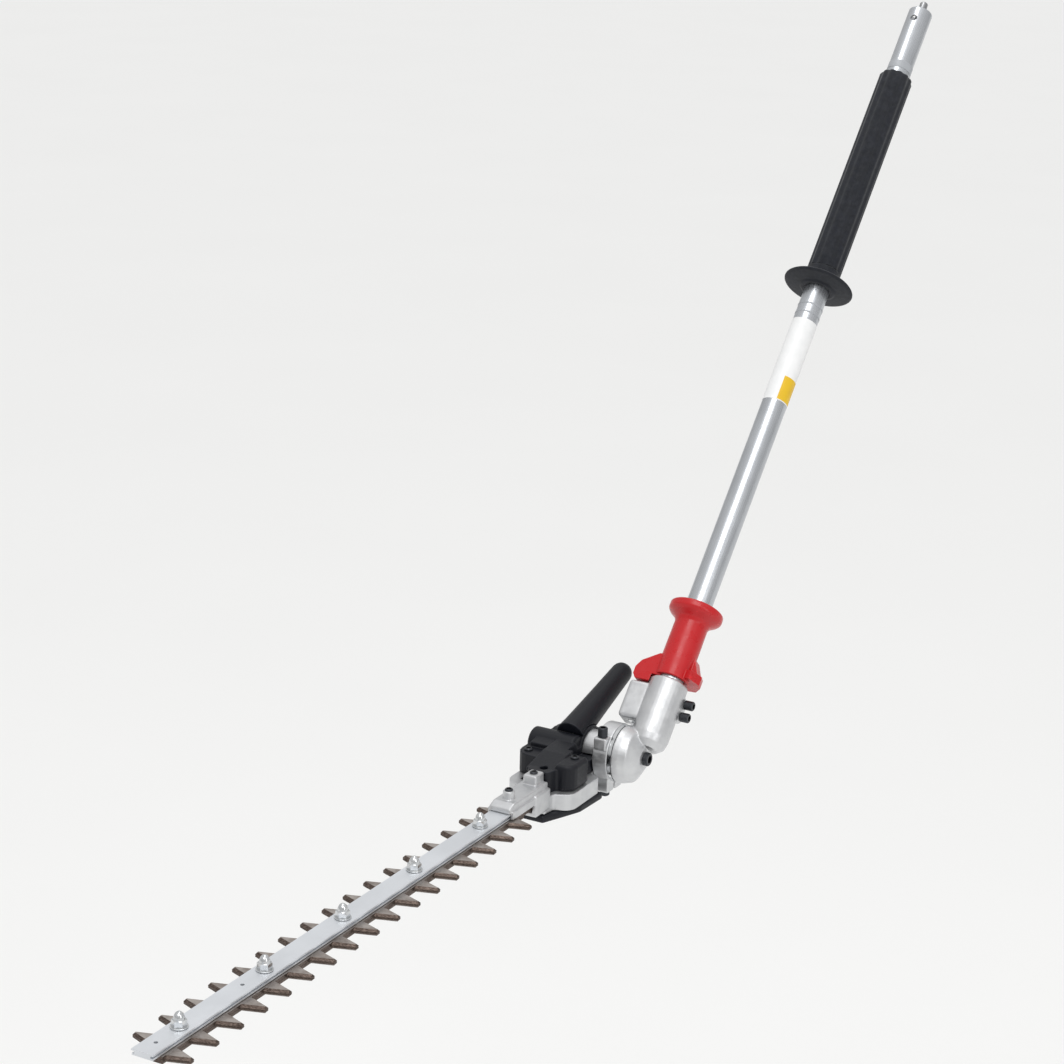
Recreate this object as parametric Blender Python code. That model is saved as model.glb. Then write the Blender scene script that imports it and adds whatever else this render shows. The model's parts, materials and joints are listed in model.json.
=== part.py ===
"""Articulating pole hedge trimmer attachment: a cutter head on a lockable hinge at the end of a tube.

Metres, +Z up. The origin is the middle of the tube's coupling end, the pole climbs towards it from the
hinge, and the blades lie level with their tips towards -X. Sizes below are in millimetres.
"""

import math

import bmesh
import bpy
from mathutils import Matrix, Vector

# ---------------------------------------------------------------- driving sizes, in mm and degrees
GAP = 0.3                # between pieces that touch
SEGMENTS = 32            # facets of a middling round piece

POLE_ANGLE = 47.3        # pole above the blade plane, at rest
POLE_OFFSET = 55.0       # pole axis to the right of the blades' centre line
BLADE_DROP = 17.0        # blade plane below the hinge axis

TUBE_RADIUS = 12.0
TUBE_WALL = 1.5
TUBE_FOOT = 40.0         # lower end of the tube, from the hinge axis
TUBE_END = 830.0         # coupling end of the tube, from the hinge axis
BUTTON_HOLE_RADIUS = 3.4
BUTTON_HOLE_BACK = 14.0  # its centre, back from the coupling end
SHAFT_RADIUS = 4.0
SHAFT_STICK_OUT = 13.0   # drive shaft beyond the tube
BUSH_LENGTH = 16.0
BUSH_PLACES = (0.12, 0.5, 0.9)   # shares of the tube's length

SOCKET_RADIUS = 17.6
SOCKET_FOOT = 8.7
SOCKET_TOP = 75.0
DOME_RADIUS = 26.5
DOME_LEFT = 18.0         # dome's open rim, left of the pole axis
DOME_RIDGE = 5.5
DOME_RIDGE_RADIUS = 23.6
DOME_NOSE = -3.0
DOME_NOSE_RADIUS = 10.5
DOME_WALL = 4.0
LOCK_OFFSET = 21.0       # lock plunger's axis, left of the pole axis
LOCK_BLOCK = (22.0, 21.5, 36.5)  # depth, width, length of the block that guides the plunger
LOCK_BLOCK_FOOT = 31.5
LOCK_BLOCK_RIGHT = 12.0
PLUNGER_RADIUS = 4.0
CLAMP_SCREW_PLACES = (49.5, 61.5)
CLAMP_SCREW_BACK = 10.5
CLAMP_FACE = 17.0
SCREW_HEAD_RADIUS = 4.4
SCREW_HEAD_LENGTH = 8.0

SLEEVE_FOOT = 78.0       # release sleeve's lower end, from the hinge axis
SLEEVE_TOP = 150.5
SLEEVE_NECK_RADIUS = 15.6
SLEEVE_FLANGE_RADIUS = 25.2
SLEEVE_FLANGE_THICK = 16.0
SLEEVE_WING_FOOT = 69.5
SLEEVE_WING_TOP = 97.5
RELEASE_TRAVEL = 9.0

GRIP_FOOT = 519.0
GRIP_TOP = 750.0
GRIP_RADIUS = 16.6
GRIP_FLUTES = 12
GUARD_RADIUS = 34.3
GUARD_THICK = 5.0
STOP_BAND_FOOT = 467.0
STOP_BAND_LENGTH = 11.0
ALIGN_BAND_FOOT = 755.7
ALIGN_BAND_LENGTH = 8.4
LABEL_FOOT = 370.0
LABEL_TOP = 460.0
SKIN = 0.4               # thickness of a band or label on the tube

BAND_RADIUS = 26.8       # hinge hub's outer band
BAND_RIGHT = 21.8        # its right face, left of the pole axis
BAND_WIDTH = 14.5
HUB_BOSS_RADIUS = 16.2
HUB_BORE_RADIUS = 13.5
INDEX_TIP_RADIUS = 26.2
INDEX_STEP = 15.0        # degrees from notch to notch
TILT_BELOW = 45.0        # degrees past straight
TILT_ABOVE = 90.0        # degrees of bend towards the pole

TOOTH_PITCH = 30.0
TEETH = 17
TOOTH_REACH = 28.8       # tooth tip from the blades' centre line
TOOTH_TIP_HALF = 1.8
TOOTH_ROOT_HALF = 8.4
TOOTH_BEVEL = 2.2
SIDE_STAGGER = 9.5       # left teeth sit this far behind the right ones
BLADE_HALF = 10.8        # blade spine's half width between the teeth
NECK_HALF = 8.4          # and in the frame
NECK_FRONT = -134.0
BLADE_THICK = 2.5
BLADE_PLAY = 0.15        # each blade from the plane between them
STROKE = TOOTH_PITCH / 2
FIRST_TIP = -634.4       # front right tooth tip, from the hinge axis

BAR_FRONT = -653.5
BAR_REAR = -118.0
BAR_HALF = 9.5
BAR_FOOT = 3.2           # bar's underside above the blade plane
BAR_THICK = 4.8
NUT_PITCH = 3.5 * TOOTH_PITCH
NUTS = 5
FIRST_NUT = FIRST_TIP + 23.7
BLADE_BOLT_RADIUS = 2.9
NUT_ACROSS = 10.0
NUT_HEIGHT = 12.0

CASE_RIGHT = -29.0
CASE_LEFT = 38.0
CASE_FRONT = -80.0
CASE_REAR = 33.5
CASE_FLOOR = -28.5
CASE_TOP = -13.5
CASE_WALL = 4.0
NOSE_FRONT = -101.0
FRAME_FRONT = -158.0
FRAME_HALF = 12.5
FRAME_TOP = -1.0
BOSS_X = -142.5          # front frame screw's boss
BOSS_TOP = 6.5
PAD_TOP = 7.5            # rear frame screw's pad
SOLE_THICK = 7.0
SOLE_SCREWS = {"front": (-92.0, 0.0), "left": (-56.0, 22.0), "rear": (22.0, 12.0)}
COVER_SHELF = 6.0        # top of the cover's lower tier
BULGE_TOP = 10.5         # top of the bulge in front of the hinge
COVER_FRONT = -60.0      # front of the cover's left half
COVER_WALL = 3.0
ARCH_RADIUS = 19.5       # cover's arch over the hinge shaft
ARCH_RIGHT = -4.0
HUB_SIDE = BAND_RIGHT + BAND_WIDTH - POLE_OFFSET + 0.5   # right wall beside the hub
RIDGE_RADIUS = 13.0
RIDGE_X = -22.0
COVER_NOSE = -90.0
BULGE_REAR = -47.0
RIDGE_Z = 3.5

HANDLE_START = (-12.0, 10.0, 12.4)
HANDLE_LENGTH = 111.0
HANDLE_SLOPE = 17.3
HANDLE_ROOT_RADIUS = 14.0
HANDLE_TIP_RADIUS = 10.0

GEAR_AT = 10.0           # hinge gear's large end, left of the pole axis
GEAR_RADIUS = 15.8
PINION_AT = 16.0
PINION_RADIUS = 9.2
CRANK_PINION_AT = -15.8
CRANK_PINION_RADIUS = 6.2
CRANK_GEAR_RADIUS = 15.4
CRANK_GEAR_AT = -7.0
CRANK_THROW = STROKE / 2
ECCENTRIC_RADIUS = 5.0
CRANK_SHAFT_RADIUS = 4.5
HINGE_SHAFT_RADIUS = 5.0

# ---------------------------------------------------------------- finishes: colour, roughness, metallic
FINISHES = {
    "cast_aluminium": ((0.62, 0.63, 0.64), 0.45, 1.0),
    "anodised_aluminium": ((0.66, 0.67, 0.68), 0.35, 1.0),
    "zinc_steel": ((0.60, 0.61, 0.62), 0.30, 1.0),
    "blade_steel": ((0.36, 0.33, 0.30), 0.40, 1.0),
    "gear_steel": ((0.42, 0.42, 0.43), 0.35, 1.0),
    "black_screw": ((0.015, 0.015, 0.017), 0.40, 0.6),
    "black_plastic": ((0.018, 0.019, 0.024), 0.55, 0.0),
    "foam_rubber": ((0.022, 0.023, 0.028), 0.80, 0.0),
    "red_plastic": ((0.62, 0.012, 0.014), 0.32, 0.0),
    "bronze": ((0.48, 0.30, 0.14), 0.40, 1.0),
    "label_film": ((0.80, 0.80, 0.79), 0.45, 0.0),
}


def mm(value):
    return value / 1000.0


def clear_scene():
    for obj in list(bpy.data.objects):
        bpy.data.objects.remove(obj, do_unlink=True)


def finish_of(name):
    material = bpy.data.materials.get(name)
    if material:
        return material
    colour, roughness, metallic = FINISHES[name]
    material = bpy.data.materials.new(name)
    material.use_nodes = True
    shader = material.node_tree.nodes["Principled BSDF"]
    shader.inputs["Base Color"].default_value = (*colour, 1.0)
    shader.inputs["Roughness"].default_value = roughness
    shader.inputs["Metallic"].default_value = metallic
    return material


def frame_empty(name, place, tilt=0.0):
    """An empty at place (mm), turned about Y by tilt degrees."""
    empty = bpy.data.objects.new(name, None)
    bpy.context.scene.collection.objects.link(empty)
    empty.location = Vector(place) / 1000.0
    empty.rotation_euler = (0.0, math.radians(tilt), 0.0)
    return empty


def add_object(name, bm, parent, finish, sharp=35.0):
    """An object from a bmesh in millimetres, with its normals pointing out."""
    bmesh.ops.remove_doubles(bm, verts=bm.verts, dist=1e-4)
    bmesh.ops.recalc_face_normals(bm, faces=bm.faces)
    bmesh.ops.scale(bm, vec=(0.001, 0.001, 0.001), verts=bm.verts)
    mesh = bpy.data.meshes.new(name)
    bm.to_mesh(mesh)
    bm.free()
    mesh.shade_smooth()
    mesh.set_sharp_from_angle(angle=math.radians(sharp))
    obj = bpy.data.objects.new(name, mesh)
    bpy.context.scene.collection.objects.link(obj)
    obj.parent = parent
    if finish:
        mesh.materials.append(finish_of(finish))
    return obj


def helper(obj):
    """Marks an object as a cutter or an added shape, which isn't a piece."""
    obj.hide_render = True
    obj.display_type = "WIRE"
    return obj


def combine(obj, other, operation):
    modifier = obj.modifiers.new(operation.lower(), "BOOLEAN")
    modifier.operation = operation
    modifier.solver = "MANIFOLD"
    modifier.object = helper(other)


def soften(obj, width, segments=2, angle=30.0):
    modifier = obj.modifiers.new("soften", "BEVEL")
    modifier.width = mm(width)
    modifier.segments = segments
    modifier.limit_method = "ANGLE"
    modifier.angle_limit = math.radians(angle)


# ---------------------------------------------------------------- shapes, in mm
def turned(profile, segments=SEGMENTS, axis="Z", centre=(0.0, 0.0, 0.0), ripple=None):
    """A closed profile of (radius, height) points turned about an axis. ripple(angle, radius) moves a radius."""
    bm = bmesh.new()
    rings = []
    for radius, height in profile:
        if radius < 1e-6:
            rings.append([bm.verts.new((0.0, 0.0, height))])
            continue
        ring = []
        for step in range(segments):
            angle = 2 * math.pi * step / segments
            r = ripple(angle, radius) if ripple else radius
            ring.append(bm.verts.new((r * math.cos(angle), r * math.sin(angle), height)))
        rings.append(ring)
    for first, second in zip(rings, rings[1:] + rings[:1]):
        if len(first) == 1 and len(second) == 1:
            continue
        for step in range(segments):
            after = (step + 1) % segments
            corners = [first[step % len(first)], first[after % len(first)],
                       second[after % len(second)], second[step % len(second)]]
            bm.faces.new(list(dict.fromkeys(corners)))
    turn = {"X": Matrix.Rotation(math.pi / 2, 4, "Y"), "Y": Matrix.Rotation(-math.pi / 2, 4, "X"),
            "Z": Matrix.Identity(4)}[axis]
    bmesh.ops.transform(bm, matrix=Matrix.Translation(centre) @ turn, verts=bm.verts)
    return bm


def rod(radius, low, high, segments=SEGMENTS, axis="Z", centre=(0.0, 0.0, 0.0), edge=0.0):
    """A solid rod, its ends chamfered by edge."""
    profile = [(0.0, low), (radius - edge, low), (radius, low + edge), (radius, high - edge),
               (radius - edge, high), (0.0, high)]
    if not edge:
        profile = [(0.0, low), (radius, low), (radius, high), (0.0, high)]
    return turned(profile, segments, axis, centre)


def ring(inner, outer, low, high, segments=SEGMENTS, axis="Z", centre=(0.0, 0.0, 0.0)):
    return turned([(inner, low), (outer, low), (outer, high), (inner, high)], segments, axis, centre)


def prism(outline, low, high, axis="Z"):
    """An outline of (x, y) points extruded from low to high along Z, of (x, z) along Y or of (y, z) along X."""
    def place(point, level):
        along = {"X": (level, *point), "Y": (point[0], level, point[1]), "Z": (*point, level)}
        return along[axis]
    bm = bmesh.new()
    bottom = [bm.verts.new(place(point, low)) for point in outline]
    top = [bm.verts.new(place(point, high)) for point in outline]
    bm.faces.new(bottom)
    bm.faces.new(top)
    for index in range(len(outline)):
        after = (index + 1) % len(outline)
        bm.faces.new([bottom[index], bottom[after], top[after], top[index]])
    return bm


def block(low, high):
    return prism([(low[0], low[1]), (high[0], low[1]), (high[0], high[1]), (low[0], high[1])], low[2], high[2])


def merged(*parts):
    """One bmesh with several separate bodies."""
    whole = bmesh.new()
    for part in parts:
        mesh = bpy.data.meshes.new("part")
        part.to_mesh(mesh)
        part.free()
        whole.from_mesh(mesh)
        bpy.data.meshes.remove(mesh)
    return whole


def rounded(corners, steps=4):
    """An outline whose corners, each (x, y, radius), are rounded by arcs."""
    points = []
    for index, (x, y, radius) in enumerate(corners):
        corner = Vector((x, y))
        before = Vector(corners[index - 1][:2]) - corner
        after = Vector(corners[(index + 1) % len(corners)][:2]) - corner
        if radius <= 0:
            points.append((x, y))
            continue
        half = before.angle(after) / 2
        back = radius / math.tan(half)
        centre = corner + (before.normalized() + after.normalized()).normalized() * radius / math.sin(half)
        start = corner + before.normalized() * back - centre
        end = corner + after.normalized() * back - centre
        sweep = start.angle_signed(end)
        for step in range(steps + 1):
            turn = -sweep * step / steps
            points.append((centre.x + start.x * math.cos(turn) - start.y * math.sin(turn),
                           centre.y + start.x * math.sin(turn) + start.y * math.cos(turn)))
    return points


def toothed(teeth, depth):
    """A ripple that makes bevel-gear teeth: the radius falls by a share of itself between teeth."""
    return lambda angle, radius: radius * (1 - depth * (0.5 - 0.5 * math.cos(teeth * angle)))


# ---------------------------------------------------------------- pole side of the hinge
def joint_housing(pole):
    """The casting that holds the tube in its socket and the hinge gear in its dome."""
    socket = turned([(0.0, SOCKET_FOOT), (SOCKET_RADIUS - 7.0, SOCKET_FOOT), (SOCKET_RADIUS - 1.5, SOCKET_FOOT + 5.0),
                     (SOCKET_RADIUS, SOCKET_FOOT + 12.0), (SOCKET_RADIUS, SOCKET_TOP - 1.5),
                     (SOCKET_RADIUS - 1.5, SOCKET_TOP), (0.0, SOCKET_TOP)])
    housing = add_object("joint_housing", socket, pole, "cast_aluminium")
    dome = turned([(0.0, DOME_NOSE), (DOME_NOSE_RADIUS, DOME_NOSE), (DOME_RIDGE_RADIUS, DOME_RIDGE),
                   (DOME_RADIUS - 0.8, DOME_RIDGE + 7.0), (DOME_RADIUS, DOME_LEFT), (0.0, DOME_LEFT)], 48, "Y")
    depth, width, length = LOCK_BLOCK
    guide = block((-depth / 2, LOCK_BLOCK_RIGHT, LOCK_BLOCK_FOOT),
                  (depth / 2, LOCK_BLOCK_RIGHT + width, LOCK_BLOCK_FOOT + length))
    boss_middle = sum(CLAMP_SCREW_PLACES) / 2
    boss = block((CLAMP_SCREW_BACK - 6.5, -CLAMP_FACE, boss_middle - 12.0),
                 (CLAMP_SCREW_BACK + 6.5, -6.0, boss_middle + 12.0))
    guide_shape = add_object("guide_shape", guide, pole, None)
    soften(guide_shape, 3.0)
    boss_shape = add_object("boss_shape", boss, pole, None)
    soften(boss_shape, 3.0)
    combine(housing, add_object("dome_shape", dome, pole, None), "UNION")
    combine(housing, guide_shape, "UNION")
    combine(housing, boss_shape, "UNION")
    inner = DOME_RIDGE_RADIUS - DOME_WALL
    gear_room = turned([(0.0, 2.3), (inner - 5.0, 2.3), (inner, 6.2), (inner, DOME_LEFT + 1.0),
                        (0.0, DOME_LEFT + 1.0)], 38, "Y")
    seat, room = TUBE_RADIUS + GAP, TUBE_RADIUS - 0.8
    tube_seat = turned([(0.0, 9.9), (room, 9.9), (room, 28.6), (seat, 28.6), (seat, SOCKET_TOP + 1.0),
                        (0.0, SOCKET_TOP + 1.0)], 28)
    plunger_bore = rod(PLUNGER_RADIUS + GAP, LOCK_BLOCK_FOOT - 1.0, LOCK_BLOCK_FOOT + length + 1.0, 16,
                       centre=(0.0, LOCK_OFFSET, 0.0))
    combine(housing, add_object("gear_room", gear_room, pole, None), "DIFFERENCE")
    combine(housing, add_object("tube_seat", tube_seat, pole, None), "DIFFERENCE")
    combine(housing, add_object("plunger_bore", plunger_bore, pole, None), "DIFFERENCE")


def socket_screw(name, parent, axis, centre, direction=1.0, radius=SCREW_HEAD_RADIUS, length=SCREW_HEAD_LENGTH):
    """A black cap screw's head with its hexagon socket, its open end towards direction."""
    hexagon = radius * 0.55
    profile = [(0.0, 0.0), (radius, 0.0), (radius, length - 0.8), (radius - 0.8, length),
               (hexagon, length), (hexagon, length / 2), (0.0, length / 2)]
    screw = turned([(r, direction * h) for r, h in profile], 18, axis, centre)
    return add_object(name, screw, parent, "black_screw")


def pole_fasteners(pole):
    for name, place in zip(("clamp_screw_lower", "clamp_screw_upper"), CLAMP_SCREW_PLACES):
        socket_screw(name, pole, "Y", (CLAMP_SCREW_BACK, -CLAMP_FACE - GAP, place), -1.0)
    socket_screw("hinge_end_bolt", pole, "Y", (0.0, DOME_NOSE - GAP, 0.0), -1.0, 6.2, 4.5)


def pole_tube(pole):
    inner = TUBE_RADIUS - TUBE_WALL
    tube = turned([(inner, TUBE_FOOT), (TUBE_RADIUS, TUBE_FOOT), (TUBE_RADIUS, TUBE_END - 1.0),
                   (TUBE_RADIUS - 1.0, TUBE_END), (inner, TUBE_END)])
    tube_object = add_object("pole_tube", tube, pole, "anodised_aluminium")
    hole = rod(BUTTON_HOLE_RADIUS, -TUBE_RADIUS - 2.0, -inner + 2.0, 16, "X", (0.0, 0.0, TUBE_END - BUTTON_HOLE_BACK))
    combine(tube_object, add_object("button_hole", hole, pole, None), "DIFFERENCE")
    for number, share in enumerate(BUSH_PLACES, 1):
        foot = TUBE_FOOT + share * (TUBE_END - TUBE_FOOT)
        bush = ring(SHAFT_RADIUS + GAP, inner - GAP, foot, foot + BUSH_LENGTH, 20)
        add_object(f"shaft_bush_{number}", bush, pole, "bronze")


def tube_wraps(pole):
    """The thin sleeves on the tube: the clamp band under the grip, the blank label and the depth band."""
    for name, foot, top, finish in (
        ("stop_band", STOP_BAND_FOOT, STOP_BAND_FOOT + STOP_BAND_LENGTH, "zinc_steel"),
        ("blank_label", LABEL_FOOT, LABEL_TOP, "label_film"),
        ("depth_band", ALIGN_BAND_FOOT, ALIGN_BAND_FOOT + ALIGN_BAND_LENGTH, "label_film"),
    ):
        add_object(name, ring(TUBE_RADIUS + GAP, TUBE_RADIUS + GAP + SKIN, foot, top), pole, finish)


def grip(pole):
    """The fluted foam grip and the round guard below it."""
    bore = TUBE_RADIUS + GAP
    def flutes(angle, radius):
        if radius < TUBE_RADIUS + 1.0:
            return radius
        return radius - 0.5 + 0.5 * math.cos(GRIP_FLUTES * angle)
    sleeve = turned([(bore, GRIP_FOOT + GAP), (GRIP_RADIUS, GRIP_FOOT + GAP), (GRIP_RADIUS, GRIP_TOP - 2.5),
                     (GRIP_RADIUS - 2.5, GRIP_TOP), (bore, GRIP_TOP)], 48, ripple=flutes)
    add_object("grip_sleeve", sleeve, pole, "foam_rubber")
    middle = GRIP_FOOT - 17.0
    guard = turned([(bore, middle - 4.0), (TUBE_RADIUS + 4.0, middle - 4.0), (GUARD_RADIUS - 1.0, middle - 1.0),
                    (GUARD_RADIUS, middle + 0.5), (GUARD_RADIUS - 1.0, middle + 2.0),
                    (GRIP_RADIUS + 3.0, middle + GUARD_THICK), (GRIP_RADIUS, GRIP_FOOT), (bore, GRIP_FOOT)], 40)
    add_object("grip_guard", guard, pole, "foam_rubber")


def lock_spring(pole):
    """The plunger's return spring, drawn shut at the top of its bore."""
    coils, wire, foot, rise = 4, 0.6, 61.0, 1.4
    bm = bmesh.new()
    steps, sides, radius = coils * 10, 5, PLUNGER_RADIUS - 0.9
    rings = []
    for step in range(steps + 1):
        turn = 2 * math.pi * step / 10
        middle = Vector((radius * math.cos(turn), LOCK_OFFSET + radius * math.sin(turn), foot + rise * step / 10))
        out = Vector((math.cos(turn), math.sin(turn), 0.0))
        rings.append([bm.verts.new(middle + wire * (out * math.cos(2 * math.pi * side / sides)
                                                    + Vector((0, 0, 1)) * math.sin(2 * math.pi * side / sides)))
                      for side in range(sides)])
    for first, second in zip(rings, rings[1:]):
        for side in range(sides):
            after = (side + 1) % sides
            bm.faces.new([first[side], first[after], second[after], second[side]])
    bm.faces.new(rings[0])
    bm.faces.new(rings[-1])
    add_object("lock_spring", bm, pole, "gear_steel")


# ---------------------------------------------------------------- release sleeve and plunger
def release_sleeve(pole):
    """The red spool that slides up the tube, with the wing that lifts the lock plunger."""
    bore = TUBE_RADIUS + 0.5
    flange_foot = SLEEVE_TOP - SLEEVE_FLANGE_THICK
    spool = turned([(bore - 1.5, SLEEVE_FOOT), (SLEEVE_NECK_RADIUS + 0.6, SLEEVE_FOOT), (SLEEVE_NECK_RADIUS, flange_foot - 4.0),
                    (SLEEVE_FLANGE_RADIUS - 3.0, flange_foot), (SLEEVE_FLANGE_RADIUS, flange_foot + 3.5),
                    (SLEEVE_FLANGE_RADIUS, SLEEVE_TOP - 5.0), (SLEEVE_FLANGE_RADIUS - 3.0, SLEEVE_TOP - 1.0),
                    (SLEEVE_FLANGE_RADIUS - 6.0, SLEEVE_TOP), (bore - 1.5, SLEEVE_TOP)], 40)
    sleeve = add_object("release_sleeve", spool, pole, "red_plastic")
    reach = LOCK_OFFSET + 12.0
    wing = [(0.0, SLEEVE_WING_FOOT), (reach - 3.0, SLEEVE_WING_FOOT), (reach, SLEEVE_WING_FOOT + 4.0),
            (reach, SLEEVE_WING_FOOT + 11.0), (reach - 4.0, SLEEVE_WING_FOOT + 18.0), (14.0, SLEEVE_WING_TOP),
            (0.0, SLEEVE_WING_TOP)]
    wing_shape = add_object("wing_shape", prism(wing, -11.0, 11.0, "X"), pole, None)
    soften(wing_shape, 1.5)
    lobe = rounded([(-3.0, -3.0, 0), (SLEEVE_NECK_RADIUS + 7.0, -4.0, 8), (SLEEVE_NECK_RADIUS + 7.0, -20.0, 8),
                    (4.0, -27.0, 8), (-12.0, -22.0, 4)])
    lobe_shape = add_object("lobe_shape", prism(lobe, SLEEVE_FOOT + 2.0, SLEEVE_FOOT + 12.0), pole, None)
    soften(lobe_shape, 1.2)
    combine(sleeve, wing_shape, "UNION")
    combine(sleeve, lobe_shape, "UNION")
    room, step = SOCKET_RADIUS + 1.2, SLEEVE_FOOT - 1.5
    run = turned([(0.0, step - 18.0), (room, step - 18.0), (room, step), (bore, step), (bore, SLEEVE_TOP + 1.0),
                  (0.0, SLEEVE_TOP + 1.0)], 36)
    pin_seat = rod(PLUNGER_RADIUS - 1.5 + GAP, SLEEVE_FOOT - 20.0, SLEEVE_FOOT + 1.0, 16, centre=(0.0, LOCK_OFFSET, 0.0))
    combine(sleeve, add_object("tube_run", run, pole, None), "DIFFERENCE")
    combine(sleeve, add_object("pin_seat", pin_seat, pole, None), "DIFFERENCE")


def lock_plunger(pole):
    """The steel pin that drops into the index ring's notches."""
    tip, shoulder = INDEX_TIP_RADIUS + 0.6, LOCK_BLOCK_FOOT
    neck = PLUNGER_RADIUS - 1.5
    body = turned([(0.0, shoulder), (PLUNGER_RADIUS, shoulder), (PLUNGER_RADIUS, 49.0), (neck - 0.7, 50.0),
                   (neck - 0.7, SLEEVE_FOOT - 9.0), (neck, SLEEVE_FOOT - 8.0), (neck, SLEEVE_FOOT + 1.0 - GAP),
                   (0.0, SLEEVE_FOOT + 1.0 - GAP)], 16, centre=(0.0, LOCK_OFFSET, 0.0))
    plunger = add_object("lock_plunger", body, pole, "zinc_steel")
    tongue = block((-1.7, DOME_LEFT + 2 * GAP, tip), (1.7, BAND_RIGHT - 2 * GAP, shoulder + 1.0))
    combine(plunger, add_object("plunger_tongue", tongue, pole, None), "UNION")


# ---------------------------------------------------------------- drive line
def drive_line(pole):
    """The long drive shaft, its bevel pinion and the pinion's bearing."""
    top = TUBE_END + SHAFT_STICK_OUT
    add_object("drive_shaft", rod(SHAFT_RADIUS, TUBE_FOOT - GAP, top, 16, edge=1.2), pole, "gear_steel")
    small = 0.7
    pinion = turned([(0.0, PINION_AT * small), (PINION_RADIUS * small, PINION_AT * small), (PINION_RADIUS, PINION_AT),
                     (PINION_RADIUS - 1.5, PINION_AT + 1.5), (0.0, PINION_AT + 1.5)], 48, ripple=toothed(12, 0.14))
    gear = add_object("drive_pinion", pinion, pole, "gear_steel")
    shank = rod(5.8, PINION_AT, TUBE_FOOT - 2 * GAP, 20)
    combine(gear, add_object("pinion_shank", shank, pole, None), "UNION")
    bearing = ring(5.8 + GAP, TUBE_RADIUS, 30.0, 38.0, 24)
    add_object("pinion_bearing", bearing, pole, "gear_steel")


def hinge_shaft(pole):
    """The cross shaft on the hinge axis: a gear in the dome and a pinion in the gearbox."""
    small = 0.6
    gear = turned([(0.0, GEAR_AT * small), (GEAR_RADIUS * small, GEAR_AT * small), (GEAR_RADIUS, GEAR_AT),
                   (GEAR_RADIUS - 3.0, GEAR_AT + 4.0), (0.0, GEAR_AT + 4.0)], 60, "Y", ripple=toothed(20, 0.10))
    add_object("hinge_gear", gear, pole, "gear_steel")
    reach = POLE_OFFSET + CRANK_PINION_AT
    tip = POLE_OFFSET + CRANK_PINION_AT * small
    pinion = turned([(0.0, tip), (CRANK_PINION_RADIUS * small, tip), (CRANK_PINION_RADIUS, reach),
                     (CRANK_PINION_RADIUS - 1.2, reach - 1.2), (0.0, reach - 1.2)], 40, "Y", ripple=toothed(10, 0.14))
    shaft = add_object("hinge_pinion", pinion, pole, "gear_steel")
    spindle = rod(HINGE_SHAFT_RADIUS - 0.2, GEAR_AT + 4.0 + GAP, reach, 20, "Y")
    combine(shaft, add_object("hinge_spindle", spindle, pole, None), "UNION")


# ---------------------------------------------------------------- head side of the hinge
def hinge_hub(head):
    """The banded hub bolted to the gear case, which turns on the hinge axis."""
    right = BAND_RIGHT - POLE_OFFSET
    left = right + BAND_WIDTH
    inner_end = ARCH_RIGHT + 1.5
    hub = turned([(HUB_BORE_RADIUS, right), (BAND_RADIUS - 0.6, right), (BAND_RADIUS, right + 0.6),
                  (BAND_RADIUS, left - 0.6), (BAND_RADIUS - 0.6, left), (HUB_BOSS_RADIUS, left),
                  (HUB_BOSS_RADIUS, inner_end), (HUB_BORE_RADIUS, inner_end)], 48, "Y")
    hub_object = add_object("hinge_hub", hub, head, "cast_aluminium")
    middle = (right + left) / 2
    for name, place, low, high in (("upper_lug", -21.0, 10.0, 21.0), ("lower_lug", -13.0, -33.0, -18.0),
                                   ("rear_lug", 2.0, -33.5, -18.0)):
        lug = add_object(name, block((place - 6.0, middle - 6.0, low), (place + 6.0, middle + 6.0, high)), head, None)
        soften(lug, 1.0)
        combine(hub_object, lug, "UNION")
    clear = rod(HUB_BORE_RADIUS + 0.05, right - 1.0, inner_end + 1.0, 44, "Y")
    gear_side = block((-40.0, left + 0.4, -40.0), (40.0, inner_end + 1.0, -0.6))
    combine(hub_object, add_object("hub_bore", clear, head, None), "DIFFERENCE")
    combine(hub_object, add_object("gear_side", gear_side, head, None), "DIFFERENCE")
    socket_screw("hub_bolt_upper", head, "Z", (-21.0, middle, 21.0 + GAP), 1.0, 4.4, 8.5)
    socket_screw("hub_bolt_lower", head, "Z", (-13.0, middle, -33.0 - GAP), -1.0, 4.4, 4.0)


def index_ring(head):
    """The ring whose notches the plunger drops into, one every INDEX_STEP degrees."""
    right = DOME_LEFT + GAP - POLE_OFFSET
    left = BAND_RIGHT - GAP - POLE_OFFSET
    low = POLE_ANGLE - 2 * math.ceil((TILT_BELOW + POLE_ANGLE) / INDEX_STEP) * INDEX_STEP / 2 - 8.0
    high = POLE_ANGLE + math.floor((TILT_ABOVE - POLE_ANGLE) / INDEX_STEP) * INDEX_STEP + 8.0

    def radius_at(angle, radius):
        if radius < DOME_RADIUS - 1.0:
            return radius
        degrees = -math.degrees(angle)
        degrees = (degrees - low) % 360.0 + low
        if not low < degrees < high:
            return DOME_RADIUS
        phase = (degrees - POLE_ANGLE) / INDEX_STEP
        return INDEX_TIP_RADIUS - 2.6 if abs(phase - round(phase)) < 0.26 else INDEX_TIP_RADIUS
    inner = 17.0
    ring_mesh = turned([(inner, right), (DOME_RADIUS, right), (DOME_RADIUS, left), (inner, left)], 120, "Y",
                       ripple=radius_at)
    add_object("index_ring", ring_mesh, head, "zinc_steel", 20.0)


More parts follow.
